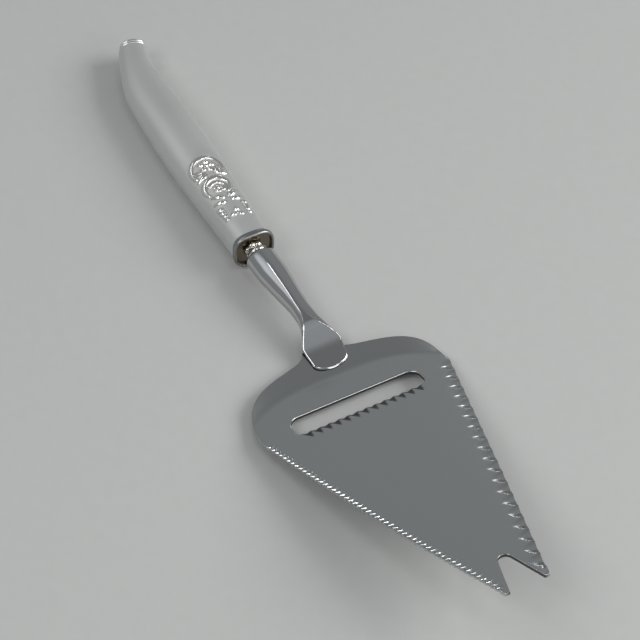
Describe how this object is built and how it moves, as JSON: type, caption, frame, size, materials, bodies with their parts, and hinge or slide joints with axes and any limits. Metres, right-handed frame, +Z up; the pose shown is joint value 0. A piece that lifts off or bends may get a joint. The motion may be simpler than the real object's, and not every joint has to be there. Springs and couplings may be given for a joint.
{
  "type": "cheese slicer",
  "caption": "Cheese slicer with a slotted, fork-tipped stainless plane blade, serrated edges, a bent shank and a hook-ended hollow silver-plated handle with a scroll panel.",
  "frame": {"origin": "middle of the bounding box in plan, at the height of the table that the slicer lies on", "axes": "+X along the slicer from the handle's butt to the fork tip, +Y to the left of someone who looks along +X, +Z up from the table"},
  "size_m": [0.249, 0.0606, 0.025],
  "materials": {
    "blade_steel": "polished",
    "shank_steel": "polished",
    "collar_silver": "bright silver plate",
    "ferrule_silver": "silver plate",
    "handle_silver": "satin silver plate",
    "handle_filling": "dull cast cement"
  },
  "bodies": {
    "root": {"blade": "blade_steel", "shank": "shank_steel", "collar": "collar_silver", "ferrule": "ferrule_silver", "handle_upper_shell": "handle_silver", "handle_lower_shell": "handle_silver", "handle_cement": "handle_filling"}
  },
  "joints": []
}
